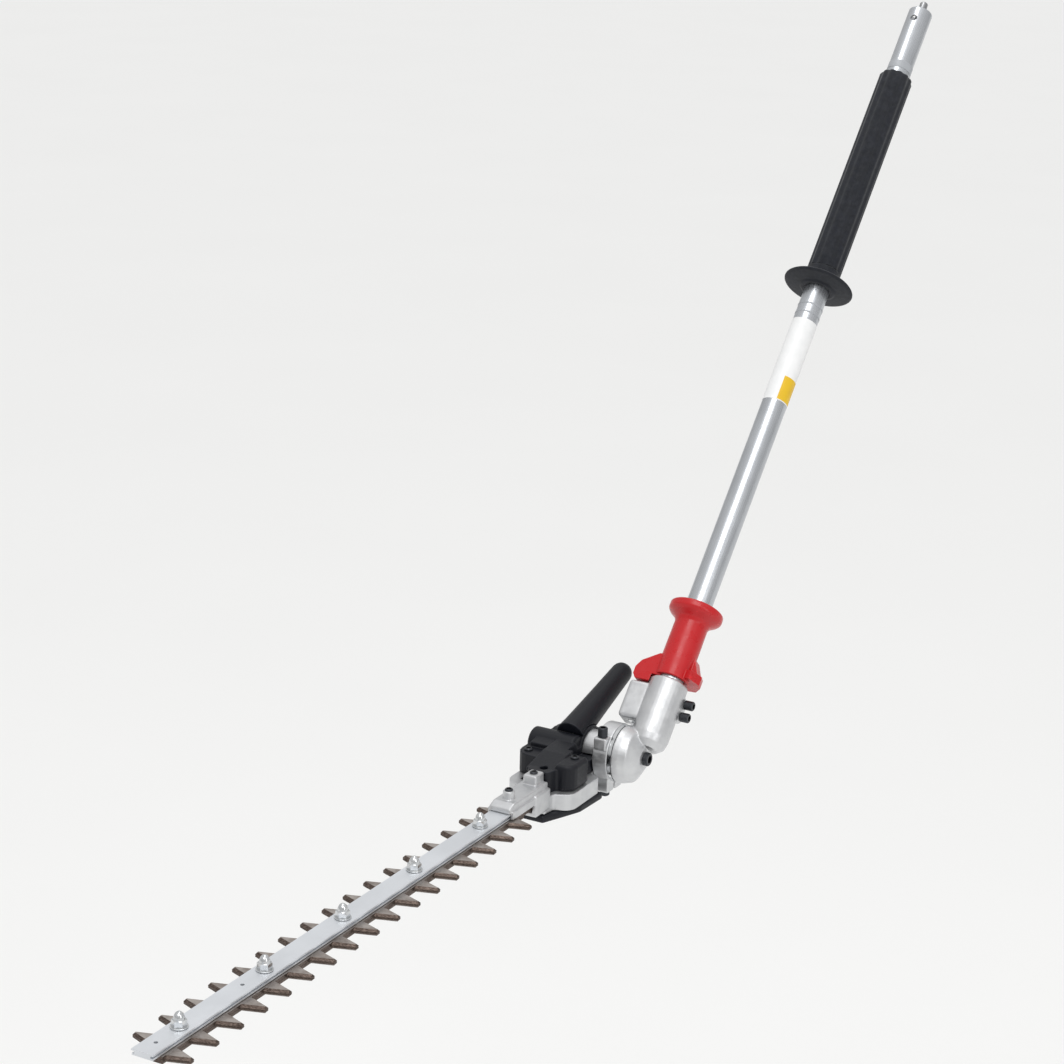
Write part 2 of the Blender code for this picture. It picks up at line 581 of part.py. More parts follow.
def hinge_bearings(head):
    bore, outer = HINGE_SHAFT_RADIUS + 0.1, HUB_BORE_RADIUS - GAP
    right = BAND_RIGHT - POLE_OFFSET
    for name, place in (("hinge_bearing_outer", right + 0.8), ("hinge_bearing_inner", right + 8.5)):
        add_object(name, ring(bore, outer, place, place + 4.0, 28, "Y"), head, "gear_steel")
    seal = ring(bore, outer, right + 5.2, right + 6.8, 28, "Y")
    add_object("hinge_seal", seal, head, "foam_rubber")


def gear_case(head):
    """The lower casting: the tray under the gears, and the frame that carries the guide bar."""
    tray_outline = rounded([(NOSE_FRONT, -FRAME_HALF, 2), (CASE_FRONT - 8.0, -14.0, 4), (CASE_FRONT, CASE_RIGHT, 12),
                            (-32.0, CASE_RIGHT, 2), (-26.0, HUB_SIDE, 2), (CASE_REAR, HUB_SIDE, 12),
                            (CASE_REAR, CASE_LEFT, 14), (CASE_FRONT, CASE_LEFT, 14), (CASE_FRONT - 8.0, 15.0, 4),
                            (NOSE_FRONT, FRAME_HALF, 2)])
    case = add_object("gear_case", prism(tray_outline, CASE_FLOOR, CASE_TOP), head, "cast_aluminium")
    bar_top = BAR_FOOT + BAR_THICK - BLADE_DROP + GAP
    frame_rear = COVER_NOSE - 1.5
    rib = prism([(FRAME_FRONT, bar_top), (FRAME_FRONT, FRAME_TOP - 3.0), (FRAME_FRONT + 8.0, FRAME_TOP),
                 (frame_rear, FRAME_TOP), (frame_rear, bar_top)], -FRAME_HALF + 2, FRAME_HALF - 2, "Y")
    cheek_foot = BAR_FOOT - BLADE_DROP + GAP
    cheeks = block((FRAME_FRONT + 2.0, -FRAME_HALF, cheek_foot), (frame_rear, FRAME_HALF, bar_top + 2.0))
    rear_block = block((NECK_FRONT + STROKE + 1.5, -FRAME_HALF - 1.0, CASE_FLOOR + 3.0),
                       (frame_rear, FRAME_HALF + 1.0, bar_top + 3.0))
    pad = block((-107.0, -6.5, FRAME_TOP - 4.0), (frame_rear, 6.5, PAD_TOP))
    boss = rod(5.2, FRAME_TOP - 3.0, BOSS_TOP, 20, centre=(BOSS_X, 0.0, 0.0), edge=0.6)
    for name, shape, edge in (("rib_shape", rib, 1.2), ("cheeks_shape", cheeks, 0.0), ("rear_shape", rear_block, 1.5),
                              ("pad_shape", pad, 1.5), ("boss_shape_front", boss, 0.0)):
        added = add_object(name, shape, head, None)
        if edge:
            soften(added, edge)
        combine(case, added, "UNION")
    floor = CASE_FLOOR + CASE_WALL
    room = block((CASE_FRONT + 8.0, HUB_SIDE + 1.8, floor), (CASE_REAR - 2.2, 28.0, CASE_TOP + 5.0))
    bar_room = block((BAR_FRONT, -BAR_HALF - GAP, cheek_foot - 5.0), (BAR_REAR + GAP, BAR_HALF + GAP, bar_top))
    slot_half = NECK_HALF + 0.8
    blade_slot = block((FRAME_FRONT - 5.0, -slot_half, floor + 3.0), (CASE_FRONT + 9.0, slot_half, cheek_foot))
    hub_room = rod(BAND_RADIUS + 1.0, -60.0, HUB_SIDE - 0.1, 48, "Y")
    combine(case, add_object("case_room", room, head, None), "DIFFERENCE")
    combine(case, add_object("bar_room", bar_room, head, None), "DIFFERENCE")
    combine(case, add_object("blade_slot", blade_slot, head, None), "DIFFERENCE")
    combine(case, add_object("case_hub_room", hub_room, head, None), "DIFFERENCE")


def gear_cover(head):
    """The black cover: a low tier round the gears, an arch over the hinge shaft and a ridge across the front."""
    foot = CASE_TOP + GAP
    left, rear = CASE_LEFT + 2.0, CASE_REAR - 1.0
    right_wall = HUB_SIDE + 0.4
    tier_outline = rounded([(COVER_NOSE, -9.0, 5), (CASE_FRONT + 1.0, -12.0, 3), (CASE_FRONT + 1.0, right_wall, 0),
                            (rear, right_wall, 9), (rear, left, 14), (COVER_FRONT, left, 12), (COVER_FRONT - 3.0, 15.0, 4),
                            (COVER_NOSE, 12.0, 5)])
    cover = add_object("gear_cover", prism(tier_outline, foot, COVER_SHELF), head, "black_plastic")
    bulge = rounded([(CASE_FRONT + 1.0, -9.0, 0), (CASE_FRONT + 1.0, CASE_RIGHT + 2.0, 10),
                     (BULGE_REAR, CASE_RIGHT + 2.0, 4), (BULGE_REAR, -9.0, 0)])
    bulge_shape = add_object("bulge_shape", prism(bulge, foot, BULGE_TOP), head, None)
    soften(bulge_shape, 3.0)
    ramp = prism([(COVER_NOSE + 4.0, 2.0), (COVER_NOSE + 4.0, 5.0), (-56.0, BULGE_TOP + 1.0), (RIDGE_X - 8.0, 13.0),
                  (RIDGE_X, 2.0)], -9.5, 15.0, "Y")
    shoulder = prism([(BULGE_REAR + 4.0, 2.0), (BULGE_REAR + 4.0, BULGE_TOP), (RIDGE_X - 8.0, 12.0), (RIDGE_X, 2.0)],
                     ARCH_RIGHT, left - 5.0, "Y")
    arch = turned([(0.0, ARCH_RIGHT), (ARCH_RADIUS - 1.0, ARCH_RIGHT), (ARCH_RADIUS, ARCH_RIGHT + 1.0),
                   (ARCH_RADIUS, ARCH_RIGHT + 11.0), (ARCH_RADIUS - 5.0, ARCH_RIGHT + 15.0),
                   (ARCH_RADIUS - 8.0, left - 6.0), (0.0, left - 6.0)], 40, "Y")
    ridge = rod(RIDGE_RADIUS, ARCH_RIGHT + 2.0, left + 3.0, 28, "Y", (RIDGE_X, 0.0, RIDGE_Z), 1.5)
    combine(cover, bulge_shape, "UNION")
    for name, shape in (("ramp_shape", ramp), ("shoulder_shape", shoulder), ("arch_shape", arch), ("ridge_shape", ridge)):
        combine(cover, add_object(name, shape, head, None), "UNION")
    trim = block((-110.0, -60.0, -60.0), (90.0, 60.0, foot + 0.05))
    wall = COVER_WALL
    room = block((COVER_FRONT + wall, right_wall + 1.6, foot - 1.0), (rear - wall, 30.0, -2.6))
    upper_room = turned([(0.0, ARCH_RIGHT + 1.6), (ARCH_RADIUS - wall, ARCH_RIGHT + 1.6),
                         (ARCH_RADIUS - wall, ARCH_RIGHT + 10.0), (ARCH_RADIUS - wall - 5.5, ARCH_RIGHT + 15.0),
                         (ARCH_RADIUS - wall - 7.5, 22.6), (0.0, 22.6)], 32, "Y")
    recess = rod(3.6, 1.0, 40.0, 18, centre=(COVER_NOSE + 9.0, 0.0, 0.0))
    hub_hole = rod(HUB_BOSS_RADIUS + GAP, -40.0, ARCH_RIGHT + 5.0, 48, "Y")
    boss_room = block((BULGE_REAR + 2.0, -30.0, -1.2), (50.0, ARCH_RIGHT - 0.05, 60.0))
    for name, shape in (("cover_foot_trim", trim), ("cover_room", room), ("arch_room", upper_room),
                        ("cover_recess", recess), ("hub_hole", hub_hole), ("boss_room", boss_room)):
        combine(cover, add_object(name, shape, head, None), "DIFFERENCE")


def sole_plate(head):
    """The black skid under the gear case."""
    top = CASE_FLOOR - GAP
    outline = rounded([(-104.0, -13.0, 3), (-82.0, -22.0, 4), (-64.0, CASE_RIGHT, 14), (-20.0, CASE_RIGHT - 2.0, 5),
                       (-8.0, HUB_SIDE, 4), (CASE_REAR, HUB_SIDE, 12), (CASE_REAR, CASE_LEFT, 14),
                       (-70.0, CASE_LEFT, 14), (-86.0, 18.0, 4), (-104.0, 13.0, 3)])
    sole = add_object("sole_plate", prism(outline, top - SOLE_THICK, top), head, "black_plastic")
    soften(sole, 2.0, angle=60.0)
    hub_room = block((-27.0, -60.0, -60.0), (27.0, -17.4, 0.0))
    combine(sole, add_object("sole_hub_room", hub_room, head, None), "DIFFERENCE")
    bottom = top - SOLE_THICK
    seats = [rod(4.5, bottom - 1.0, bottom + 2.6, 18, centre=(x, y, 0.0)) for x, y in SOLE_SCREWS.values()]
    combine(sole, add_object("sole_screw_seats", merged(*seats), head, None), "DIFFERENCE")


def rear_handle(head):
    """The tapering handle behind the cover, seated on the cover's arch."""
    steps, profile = 8, [(0.0, -2.0)]
    for step in range(steps + 1):
        share = step / steps
        radius = HANDLE_ROOT_RADIUS + (HANDLE_TIP_RADIUS - HANDLE_ROOT_RADIUS) * share ** 0.8
        profile.append((radius, -2.0 + share * (HANDLE_LENGTH - HANDLE_TIP_RADIUS)))
    for step in range(1, 5):
        turn = math.pi / 2 * step / 5
        profile.append((HANDLE_TIP_RADIUS * math.cos(turn),
                        HANDLE_LENGTH - HANDLE_TIP_RADIUS - 2.0 + HANDLE_TIP_RADIUS * math.sin(turn)))
    profile.append((0.0, HANDLE_LENGTH - 2.0))
    bm = turned(profile, 28, "X")
    turn = Matrix.Translation(HANDLE_START) @ Matrix.Rotation(-math.radians(HANDLE_SLOPE), 4, "Y")
    bmesh.ops.transform(bm, matrix=turn, verts=bm.verts)
    handle = add_object("rear_handle", bm, head, "black_plastic")
    seat = rod(ARCH_RADIUS + GAP, -60.0, 60.0, 40, "Y")
    shelf = block((-80.0, -60.0, -60.0), (CASE_REAR + 1.0, 60.0, COVER_SHELF + GAP))
    ridge_room = rod(RIDGE_RADIUS + GAP, -60.0, 60.0, 28, "Y", (RIDGE_X, 0.0, RIDGE_Z))
    for name, shape in (("handle_seat", seat), ("handle_shelf", shelf), ("ridge_room", ridge_room)):
        combine(handle, add_object(name, shape, head, None), "DIFFERENCE")


# ---------------------------------------------------------------- crank, blades and bar
def crank(crank_frame):
    """The bevel gear with its two opposed eccentrics, one for each blade."""
    small = 0.6
    top = CRANK_GEAR_AT
    gear = turned([(0.0, top * small), (CRANK_GEAR_RADIUS * small, top * small), (CRANK_GEAR_RADIUS, top),
                   (CRANK_GEAR_RADIUS, top - 1.0), (CRANK_GEAR_RADIUS - 5.0, top - 3.0), (0.0, top - 3.0)], 72,
                  ripple=toothed(24, 0.10))
    crank_gear = add_object("crank_gear", gear, crank_frame, "gear_steel")
    shaft = rod(CRANK_SHAFT_RADIUS, CASE_FLOOR + CASE_WALL + 0.5, 12.0, 20)
    combine(crank_gear, add_object("crank_shaft", shaft, crank_frame, None), "UNION")
    for name, side, low in (("upper_eccentric", -1.0, BLADE_PLAY), ("lower_eccentric", 1.0, -BLADE_PLAY - BLADE_THICK)):
        disc = rod(ECCENTRIC_RADIUS, low - BLADE_DROP + 0.1, low - BLADE_DROP + BLADE_THICK - 0.1, 24,
                   centre=(side * CRANK_THROW, 0.0, 0.0))
        combine(crank_gear, add_object(name, disc, crank_frame, None), "UNION")


def crank_bearings(head):
    bore, outer = CRANK_SHAFT_RADIUS + 0.1, 9.0
    foot = CASE_FLOOR + CASE_WALL + GAP
    add_object("crank_bearing_lower", ring(bore, outer, foot, foot + 3.5, 24), head, "gear_steel")
    add_object("crank_bearing_upper", ring(bore, outer - 1.5, 5.0, 9.5, 24), head, "gear_steel")


def blade_outline(shift, inset, yoke_front, yoke_rear, yoke_half):
    """The blade's outline: teeth down both sides, then the neck and the yoke. inset narrows the teeth."""
    def side(sign, stagger):
        points = []
        for tooth in range(TEETH):
            tip = FIRST_TIP + shift + tooth * TOOTH_PITCH + stagger
            root = BLADE_HALF * sign
            reach = (TOOTH_REACH - inset * 0.6) * sign
            points += [(tip - TOOTH_ROOT_HALF + inset, root), (tip - TOOTH_TIP_HALF + inset * 0.6, reach),
                       (tip + TOOTH_TIP_HALF - inset * 0.6, reach), (tip + TOOTH_ROOT_HALF - inset, root)]
        return points
    front = FIRST_TIP + shift - TOOTH_ROOT_HALF - 2.0
    right = side(-1.0, 0.0)
    left = side(1.0, SIDE_STAGGER)
    rear = [(NECK_FRONT, -BLADE_HALF), (NECK_FRONT + 2.0, -NECK_HALF), (yoke_front - 8.0, -NECK_HALF),
            (yoke_front, -yoke_half), (yoke_rear, -yoke_half), (yoke_rear, yoke_half), (yoke_front, yoke_half),
            (yoke_front - 8.0, NECK_HALF), (NECK_FRONT + 2.0, NECK_HALF), (NECK_FRONT, BLADE_HALF)]
    return [(front, -BLADE_HALF)] + right + rear + left[::-1] + [(front, BLADE_HALF)]


def blade(name, head, side):
    """One reciprocating blade; side is 1 for the upper blade and -1 for the lower one."""
    sweep = CRANK_THROW + ECCENTRIC_RADIUS + GAP
    window_front = -sweep - (STROKE if side > 0 else 0.0)
    window_rear = sweep + (0.0 if side > 0 else STROKE)
    yoke = (window_front - 4.0, window_rear + 2.4, sweep + 2.7)
    face = blade_outline(0.0, 0.0, *yoke)
    ground = blade_outline(0.0, TOOTH_BEVEL, *yoke)
    flat, edge = side * BLADE_PLAY - BLADE_DROP, side * (BLADE_PLAY + BLADE_THICK) - BLADE_DROP
    middle = flat + side * BLADE_THICK * 0.35
    bm = bmesh.new()
    levels = [[bm.verts.new((x, y, level)) for x, y in outline]
              for outline, level in ((face, flat), (face, middle), (ground, edge))]
    for low, high in zip(levels, levels[1:]):
        for index in range(len(low)):
            after = (index + 1) % len(low)
            bm.faces.new([low[index], low[after], high[after], high[index]])
    bm.faces.new(levels[0])
    bm.faces.new(levels[-1])
    blade_object = add_object(name, bm, head, "blade_steel", 20.0)
    low, high = min(flat, edge) - 1.0, max(flat, edge) + 1.0
    window = block((window_front, -sweep, low), (window_rear, sweep, high))
    slots = []
    back, ahead = (STROKE, 0.0) if side > 0 else (0.0, STROKE)
    for nut in range(NUTS):
        place, half = FIRST_NUT + nut * NUT_PITCH, BLADE_BOLT_RADIUS + 0.5
        slots.append(prism(rounded([(place - back - half, -half, half - 0.1), (place + ahead + half, -half, half - 0.1),
                                    (place + ahead + half, half, half - 0.1), (place - back - half, half, half - 0.1)],
                                   3), low, high))
    combine(blade_object, add_object(name + "_openings", merged(window, *slots), head, None), "DIFFERENCE")


def guide_bar(head):
    """The bar that the blades slide under, with its side flutes and bolt holes."""
    foot, top = BAR_FOOT - BLADE_DROP, BAR_FOOT + BAR_THICK - BLADE_DROP
    waist = BAR_HALF - 1.4
    section = [(-BAR_HALF + 0.6, foot), (BAR_HALF - 0.6, foot), (BAR_HALF - 0.6, foot + 1.4), (waist, foot + 1.9),
               (waist, top - 2.0), (BAR_HALF, top - 1.5), (BAR_HALF, top - 0.3), (BAR_HALF - 0.3, top),
               (-BAR_HALF + 0.3, top), (-BAR_HALF, top - 0.3), (-BAR_HALF, top - 1.5), (-waist, top - 2.0),
               (-waist, foot + 1.9), (-BAR_HALF + 0.6, foot + 1.4)]
    bm = bmesh.new()
    ends = [[bm.verts.new((x, y, z)) for y, z in section] for x in (BAR_FRONT, BAR_REAR)]
    for index in range(len(section)):
        after = (index + 1) % len(section)
        bm.faces.new([ends[0][index], ends[0][after], ends[1][after], ends[1][index]])
    bm.faces.new(ends[0])
    bm.faces.new(ends[1])
    bar = add_object("guide_bar", bm, head, "anodised_aluminium")
    holes = [rod(BLADE_BOLT_RADIUS + 0.3, foot - 1.0, top + 1.0, 16, centre=(FIRST_NUT + nut * NUT_PITCH, 0.0, 0.0))
             for nut in range(NUTS)]
    holes += [rod(1.7, foot - 1.0, top + 1.0, 12, centre=(FIRST_NUT - 27.0 + along, 0.0, 0.0)) for along in (0.0, 103.7)]
    combine(bar, add_object("bar_holes", merged(*holes), head, None), "DIFFERENCE")


def bar_fasteners(head):
    """The five bolts through bar and blades, and their cap nuts on top."""
    seat = BAR_FOOT + BAR_THICK - BLADE_DROP + GAP
    under = -BLADE_PLAY - BLADE_THICK - BLADE_DROP - GAP
    across = NUT_ACROSS / 2 / math.cos(math.pi / 6)
    for nut in range(NUTS):
        place = (FIRST_NUT + nut * NUT_PITCH, 0.0, 0.0)
        cap = turned([(0.0, seat), (across + 1.0, seat), (across + 1.0, seat + 0.9), (across, seat + 0.9),
                      (across, seat + NUT_HEIGHT * 0.45), (across - 0.9, seat + NUT_HEIGHT * 0.6),
                      (across - 2.4, seat + NUT_HEIGHT * 0.88), (0.0, seat + NUT_HEIGHT)], 12, centre=place)
        bolt = turned([(0.0, under - 3.0), (5.6, under - 3.0), (6.2, under - 2.2), (6.2, under),
                       (BLADE_BOLT_RADIUS, under), (BLADE_BOLT_RADIUS, seat - 2 * GAP),
                       (0.0, seat - 2 * GAP)], 14, centre=place)
        add_object(f"cap_nut_{nut + 1}", cap, head, "zinc_steel")
        add_object(f"blade_bolt_{nut + 1}", bolt, head, "zinc_steel")


def head_screws(head):
    """The screws of the frame and the cover, and those under the sole."""
    socket_screw("frame_screw_front", head, "Z", (BOSS_X, 0.0, BOSS_TOP + GAP), 1.0, 3.6, 1.4)
    socket_screw("frame_screw_rear", head, "Z", (-99.0, 0.0, PAD_TOP + GAP), 1.0, 3.6, 1.2)
    socket_screw("cover_screw_right", head, "Z", (-56.0, CASE_RIGHT + 12.0, BULGE_TOP + GAP), 1.0, 3.8, 1.6)
    socket_screw("cover_screw_left", head, "Z", (COVER_FRONT + 9.0, CASE_LEFT - 6.0, COVER_SHELF + GAP), 1.0, 3.8, 1.6)
    seat = CASE_FLOOR - GAP - SOLE_THICK + 2.3
    for name, (x, y) in SOLE_SCREWS.items():
        button = turned([(0.0, seat - 1.8), (3.4, seat - 1.8), (4.0, seat - 1.1), (4.0, seat), (0.0, seat)], 14,
                        centre=(x, y, 0.0))
        add_object(f"sole_screw_{name}", button, head, "black_screw")


def build():
    clear_scene()
    tilt = 90.0 - POLE_ANGLE
    climb = Vector((math.sin(math.radians(tilt)), 0.0, math.cos(math.radians(tilt))))
    hinge = -climb * TUBE_END
    pole = frame_empty("pole_frame", hinge, tilt)
    cross = frame_empty("hinge_axis_frame", hinge, 0.0)
    head = frame_empty("head_frame", hinge + Vector((0.0, POLE_OFFSET, 0.0)))
    crank_frame = frame_empty("crank_frame", hinge + Vector((0.0, POLE_OFFSET, 0.0)))

    joint_housing(pole)
    pole_fasteners(pole)
    pole_tube(pole)
    tube_wraps(pole)
    grip(pole)
    lock_spring(pole)
    release_sleeve(pole)
    lock_plunger(pole)
    drive_line(pole)
    hinge_shaft(cross)

    hinge_hub(head)
    index_ring(head)
    hinge_bearings(head)
    gear_case(head)
    gear_cover(head)
    sole_plate(head)
    rear_handle(head)
    crank(crank_frame)
    crank_bearings(head)
    blade("upper_blade", head, 1)
    blade("lower_blade", head, -1)
    guide_bar(head)
    bar_fasteners(head)
    head_screws(head)


build()
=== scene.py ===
"""Visual scene of a pole hedge trimmer attachment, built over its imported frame."""

import json
import math

import bmesh
import bpy
from mathutils import Euler, Matrix, Vector


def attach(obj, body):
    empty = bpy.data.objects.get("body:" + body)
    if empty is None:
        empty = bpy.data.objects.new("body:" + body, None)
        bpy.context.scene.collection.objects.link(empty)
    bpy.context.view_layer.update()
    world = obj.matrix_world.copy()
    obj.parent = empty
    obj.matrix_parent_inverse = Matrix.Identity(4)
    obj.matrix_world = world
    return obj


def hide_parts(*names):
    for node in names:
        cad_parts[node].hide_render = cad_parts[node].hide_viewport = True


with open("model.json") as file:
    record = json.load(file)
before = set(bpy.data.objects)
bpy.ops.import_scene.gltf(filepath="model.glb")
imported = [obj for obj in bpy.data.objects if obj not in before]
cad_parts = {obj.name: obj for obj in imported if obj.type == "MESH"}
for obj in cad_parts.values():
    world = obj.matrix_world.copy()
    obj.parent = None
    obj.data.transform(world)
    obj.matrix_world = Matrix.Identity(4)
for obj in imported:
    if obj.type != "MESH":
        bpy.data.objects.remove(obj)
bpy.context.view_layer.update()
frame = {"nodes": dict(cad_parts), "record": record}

# ---------------------------------------------------------------- sizes, in mm and degrees
POLE_ANGLE = 47.3
HINGE_TO_END = 830.0
HEAD_LEFT = 55.0

TUBE_RADIUS = 12.0
TUBE_INNER = 10.5
TUBE_FOOT = 40.0
BUTTON_HOLE_RADIUS = 3.4
BUTTON_HOLE_BACK = 14.0
SKIN_INNER = 12.05
SKIN_OUTER = 12.25
PRINT_INNER = 12.20
PRINT_OUTER = 12.31

GRIP_FOOT = 519.0
GRIP_TOP = 750.0
GRIP_RADIUS = 16.6
GRIP_FLUTES = 12
FLUTE_DEPTH = 0.55
GUARD_RADIUS = 34.3

SLEEVE_NECK = 15.6
SLEEVE_FLANGE = 25.2
SLEEVE_FOOT = 78.0
SLEEVE_TOP = 150.5
SLEEVE_BORE = 12.5
WING_REACH = 33.0
WING_FOOT = 69.5
WING_TOP = 97.5

BAR_HALF = 9.5
BAR_GROOVE = 2.6
BAR_MIDDLE = -11.5
NUT_SEAT = -8.7
NUT_HEIGHT = 12.0
NUT_ACROSS = 10.0
FIRST_NUT = -610.7
NUT_PITCH = 105.0

CAMERA_PLACE = (-2514.3, -949.3, 258.8)
CAMERA_TURN = (73.012, -1.608, -60.836)
CAMERA_LENS = 88.61
FLOOR_DROP = 900.0


def mm(*values):
    return Vector(values) / 1000.0


climb = Vector((math.cos(math.radians(POLE_ANGLE)), 0.0, math.sin(math.radians(POLE_ANGLE))))
hinge = -climb * HINGE_TO_END / 1000.0
POLE = Matrix.Translation(hinge) @ Matrix.Rotation(math.radians(90.0 - POLE_ANGLE), 4, "Y")
HEAD = Matrix.Translation(hinge + mm(0.0, HEAD_LEFT, 0.0))


# ---------------------------------------------------------------- meshes, in mm
def turned(profile, segments=96, axis="Z", centre=(0.0, 0.0, 0.0), ripple=None):
    """A closed profile of (radius, height) points turned about an axis; ripple changes a radius by angle."""
    bm = bmesh.new()
    rings = []
    for radius, height in profile:
        if radius < 1e-6:
            rings.append([bm.verts.new((0.0, 0.0, height))])
            continue
        ring = []
        for step in range(segments):
            angle = 2 * math.pi * step / segments
            r = ripple(angle, radius, height) if ripple else radius
            ring.append(bm.verts.new((r * math.cos(angle), r * math.sin(angle), height)))
        rings.append(ring)
    for first, second in zip(rings, rings[1:] + rings[:1]):
        if len(first) == 1 and len(second) == 1:
            continue
        for step in range(segments):
            after = (step + 1) % segments
            corners = [first[step % len(first)], first[after % len(first)],
                       second[after % len(second)], second[step % len(second)]]
            bm.faces.new(list(dict.fromkeys(corners)))
    turn = {"X": Matrix.Rotation(math.pi / 2, 4, "Y"), "Y": Matrix.Rotation(-math.pi / 2, 4, "X"),
            "Z": Matrix.Identity(4)}[axis]
    bmesh.ops.transform(bm, matrix=Matrix.Translation(centre) @ turn, verts=bm.verts)
    return bm


def rod(radius, low, high, segments=64, axis="Z", centre=(0.0, 0.0, 0.0)):
    return turned([(0.0, low), (radius, low), (radius, high), (0.0, high)], segments, axis, centre)


def softened(profile, radius=0.8, steps=4):
    """A profile whose inner points are rounded by short arcs, so that a turned edge catches light."""
    points = []
    for index, point in enumerate(profile):
        here = Vector(point)
        before = Vector(profile[index - 1]) - here
        after = Vector(profile[(index + 1) % len(profile)]) - here
        if point[0] < 1e-6 or before.length < 1e-6 or after.length < 1e-6:
            points.append(point)
            continue
        reach = min(radius, before.length * 0.45, after.length * 0.45)
        start = here + before.normalized() * reach
        end = here + after.normalized() * reach
        for step in range(steps + 1):
            t = step / steps
            points.append(tuple(start * (1 - t) ** 2 + here * 2 * t * (1 - t) + end * t ** 2))
    return points


def prism(outline, low, high, axis="Z"):
    """An outline extruded from low to high: (x, y) along Z, (x, z) along Y or (y, z) along X."""
    def place(point, level):
        along = {"X": (level, *point), "Y": (point[0], level, point[1]), "Z": (*point, level)}
        return along[axis]
    bm = bmesh.new()
    bottom = [bm.verts.new(place(point, low)) for point in outline]
    top = [bm.verts.new(place(point, high)) for point in outline]
    bm.faces.new(bottom)
    bm.faces.new(top)
    for index in range(len(outline)):
        after = (index + 1) % len(outline)
        bm.faces.new([bottom[index], bottom[after], top[after], top[index]])
    return bm


def block(low, high):
    outline = [(low[0], low[1]), (high[0], low[1]), (high[0], high[1]), (low[0], high[1])]
    return prism(outline, low[2], high[2])


# ---------------------------------------------------------------- objects
def add_object(name, bm, place):
    """An object from a bmesh in millimetres, in the place of a frame matrix."""
    bmesh.ops.remove_doubles(bm, verts=bm.verts, dist=1e-4)
    bmesh.ops.recalc_face_normals(bm, faces=bm.faces)
    bmesh.ops.scale(bm, vec=(0.001, 0.001, 0.001), verts=bm.verts)
    mesh = bpy.data.meshes.new(name)
    bm.to_mesh(mesh)
    bm.free()
    obj = bpy.data.objects.new(name, mesh)
    bpy.context.scene.collection.objects.link(obj)
    obj.matrix_world = place
    return obj


def boolean(obj, other, operation):
    modifier = obj.modifiers.new(operation.lower(), "BOOLEAN")
    modifier.operation = operation
    modifier.solver = "MANIFOLD"
    modifier.object = other
    bake(obj)
    bpy.data.objects.remove(other, do_unlink=True)


def bake(obj):
    """Replaces the object's mesh with the one that its modifiers make."""
    bpy.context.view_layer.update()
    graph = bpy.context.evaluated_depsgraph_get()
    mesh = bpy.data.meshes.new_from_object(obj.evaluated_get(graph))
    obj.modifiers.clear()
    old = obj.data
    obj.data = mesh
    bpy.data.meshes.remove(old)


def remeshed(obj, voxel, rounds, keep=0.4):
    """Voxel remesh in mm, then smoothing, which leaves the small radii of a casting or moulding."""
    remesh = obj.modifiers.new("remesh", "REMESH")
    remesh.mode = "VOXEL"
    remesh.voxel_size = voxel / 1000.0
    smooth = obj.modifiers.new("smooth", "SMOOTH")
    smooth.factor = 0.5
    smooth.iterations = rounds
    if keep < 1.0:
        thin = obj.modifiers.new("thin", "DECIMATE")
        thin.ratio = keep
    bake(obj)
    obj.data.shade_smooth()


def bevelled(obj, width, segments=3, angle=30.0):
    bevel = obj.modifiers.new("edges", "BEVEL")
    bevel.width = width / 1000.0
    bevel.segments = segments
    bevel.limit_method = "ANGLE"
    bevel.angle_limit = math.radians(angle)
    bake(obj)
    smooth_by_angle(obj, 30.0)


def smooth_by_angle(obj, angle=35.0):
    obj.data.shade_smooth()
    obj.data.set_sharp_from_angle(angle=math.radians(angle))


def copy_of(node, name):
    """A new object with a CAD node's shape, its split vertices welded, for further work."""
    source = frame["nodes"][node]
    bm = bmesh.new()
    bm.from_mesh(source.data)
    bmesh.ops.remove_doubles(bm, verts=bm.verts, dist=1e-6)
    mesh = bpy.data.meshes.new(name)
    bm.to_mesh(mesh)
    bm.free()
    obj = bpy.data.objects.new(name, mesh)
    bpy.context.scene.collection.objects.link(obj)
    obj.matrix_world = source.matrix_world.copy()
    return obj


def finished(obj, body, material, *nodes):
    """Gives a piece its material, its body and the CAD nodes that it stands for."""
    obj.data.materials.clear()
    obj.data.materials.append(material)
    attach(obj, body)
    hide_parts(*nodes)
    return obj


# ---------------------------------------------------------------- materials
def linear(code):
    """Linear RGBA from an sRGB hex code."""
    values = [int(code[index:index + 2], 16) / 255.0 for index in (0, 2, 4)]
    return (*[v / 12.92 if v <= 0.04045 else ((v + 0.055) / 1.055) ** 2.4 for v in values], 1.0)


def add_node(tree, kind, links=None, **settings):
    """A node with its settings and input values; links maps an input to another node's output."""
    node = tree.nodes.new("ShaderNode" + kind)
    for key, value in settings.items():
        if key in node.bl_rna.properties:
            setattr(node, key, value)
        else:
            node.inputs[key.replace("_", " ")].default_value = value
    for key, output in (links or {}).items():
        tree.links.new(output, node.inputs[key])
    return node


